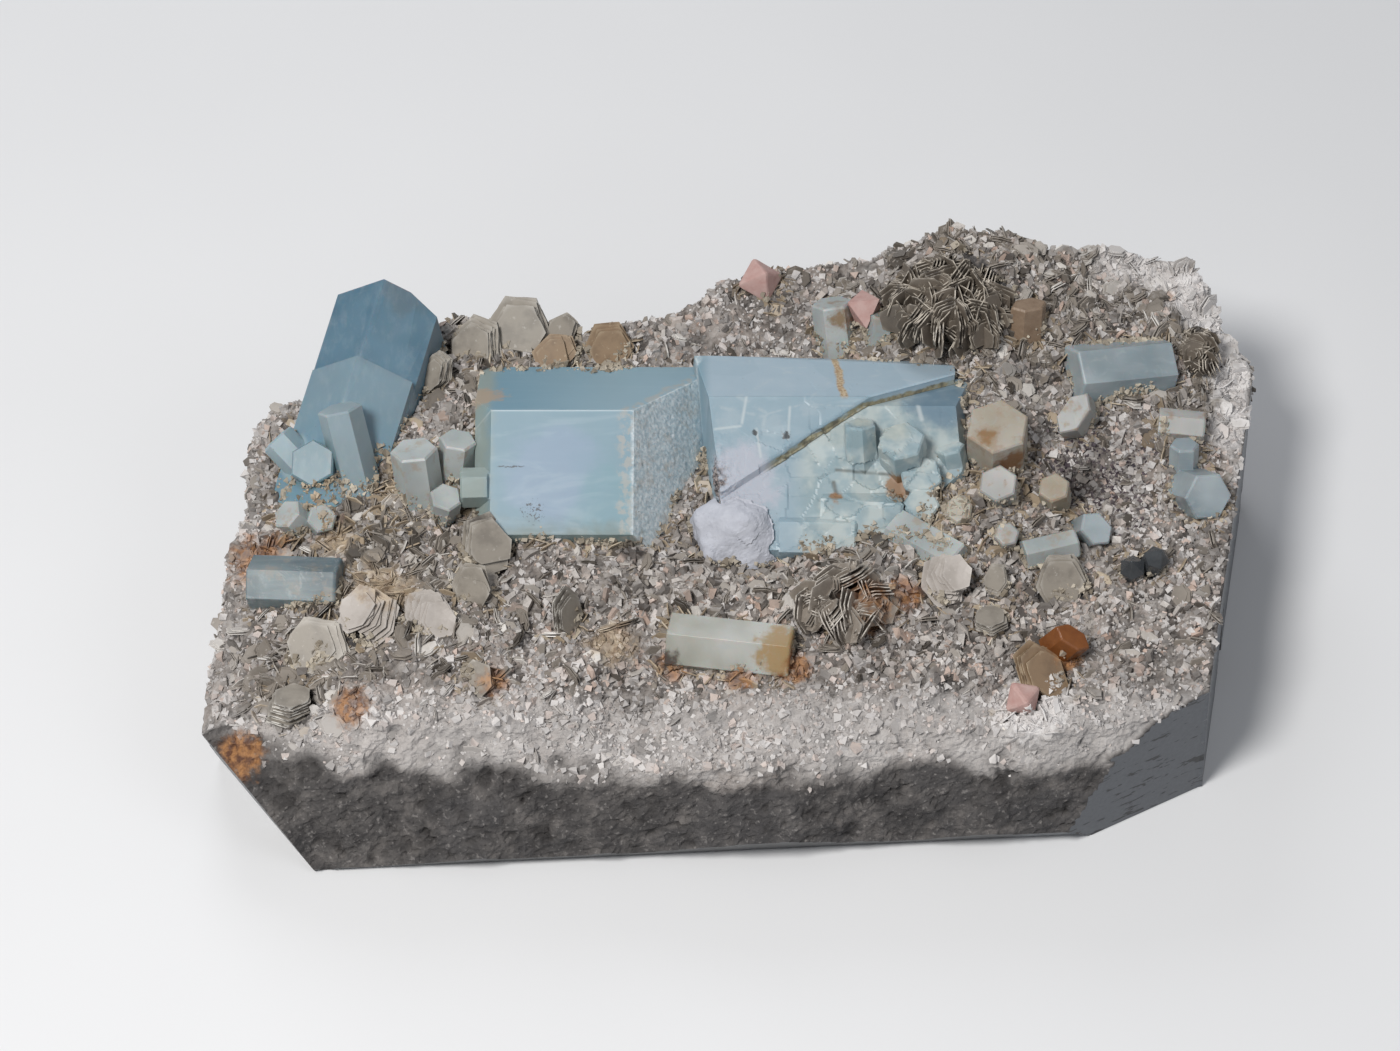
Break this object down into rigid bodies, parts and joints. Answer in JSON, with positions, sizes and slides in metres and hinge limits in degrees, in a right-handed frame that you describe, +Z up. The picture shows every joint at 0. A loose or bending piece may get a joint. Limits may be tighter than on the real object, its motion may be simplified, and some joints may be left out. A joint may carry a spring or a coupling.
{
  "type": "aquamarine crystal specimen on matrix",
  "caption": "Pale blue six-sided crystals lying and leaning on a sawn-based plate of white feldspar with mica books, pale beryls and pink fluorite; rests flat.",
  "frame": {"origin": "a point of the flat sawn base, under the middle of the large lying crystal", "axes": "+X along the lying crystal, to the right of the front; +Y to the back; +Z up from the sawn base"},
  "size_m": [0.3206, 0.192, 0.0904],
  "materials": {
    "matrix": "rough sugary feldspar, with a grey broken front and dark sawn faces",
    "aquamarine": "satin, cloudy light blue, partly see-through",
    "pale_beryl": "satin, milky pale green to cream",
    "smoky_quartz": "glossy smoky grey",
    "albite": "powdery white",
    "feldspar": "satin brown",
    "fluorite": "satin pink",
    "mica": "pearly layered sheets"
  },
  "bodies": {
    "root": {"aquamarine_main": "aquamarine", "aquamarine_upright": "aquamarine", "aquamarine_low_left": "aquamarine", "beryl_left_pair": "pale_beryl", "beryl_between": "pale_beryl", "beryl_front": "pale_beryl", "aquamarine_right": "aquamarine", "beryl_right_pale": "pale_beryl", "beryl_right_small": "pale_beryl", "aquamarine_right_edge": "aquamarine", "beryl_yellow": "pale_beryl", "beryl_milky": "pale_beryl", "beryl_peach_left": "pale_beryl", "beryl_peach_right": "pale_beryl", "beryl_hexagon": "pale_beryl", "beryl_green": "pale_beryl", "beryl_blue_small": "pale_beryl", "quartz_smoky": "smoky_quartz", "beryl_tabular": "pale_beryl", "beryl_back_left": "pale_beryl", "beryl_back_right": "pale_beryl", "feldspar_back": "feldspar", "albite_fan": "albite", "feldspar_orange": "feldspar", "fluorite_back_left": "fluorite", "fluorite_back_right": "fluorite", "fluorite_front": "fluorite", "mica_rosette": "mica", "mica_nest": "mica", "mica_spray": "mica", "mica_back_large": "mica", "mica_back_left": "mica", "mica_back_right": "mica", "mica_brown_left": "mica", "mica_brown_right": "mica", "mica_grey": "mica", "mica_tabular": "mica", "mica_leaning": "mica", "mica_shell_left": "mica", "mica_shell_right": "mica", "mica_hexagon": "mica", "mica_stack": "mica", "mica_blade": "mica", "mica_front_left": "mica", "mica_fan": "mica", "mica_small": "mica", "mica_white": "mica", "mica_leaves": "mica", "mica_curved": "mica", "matrix": "matrix"}
  },
  "joints": []
}
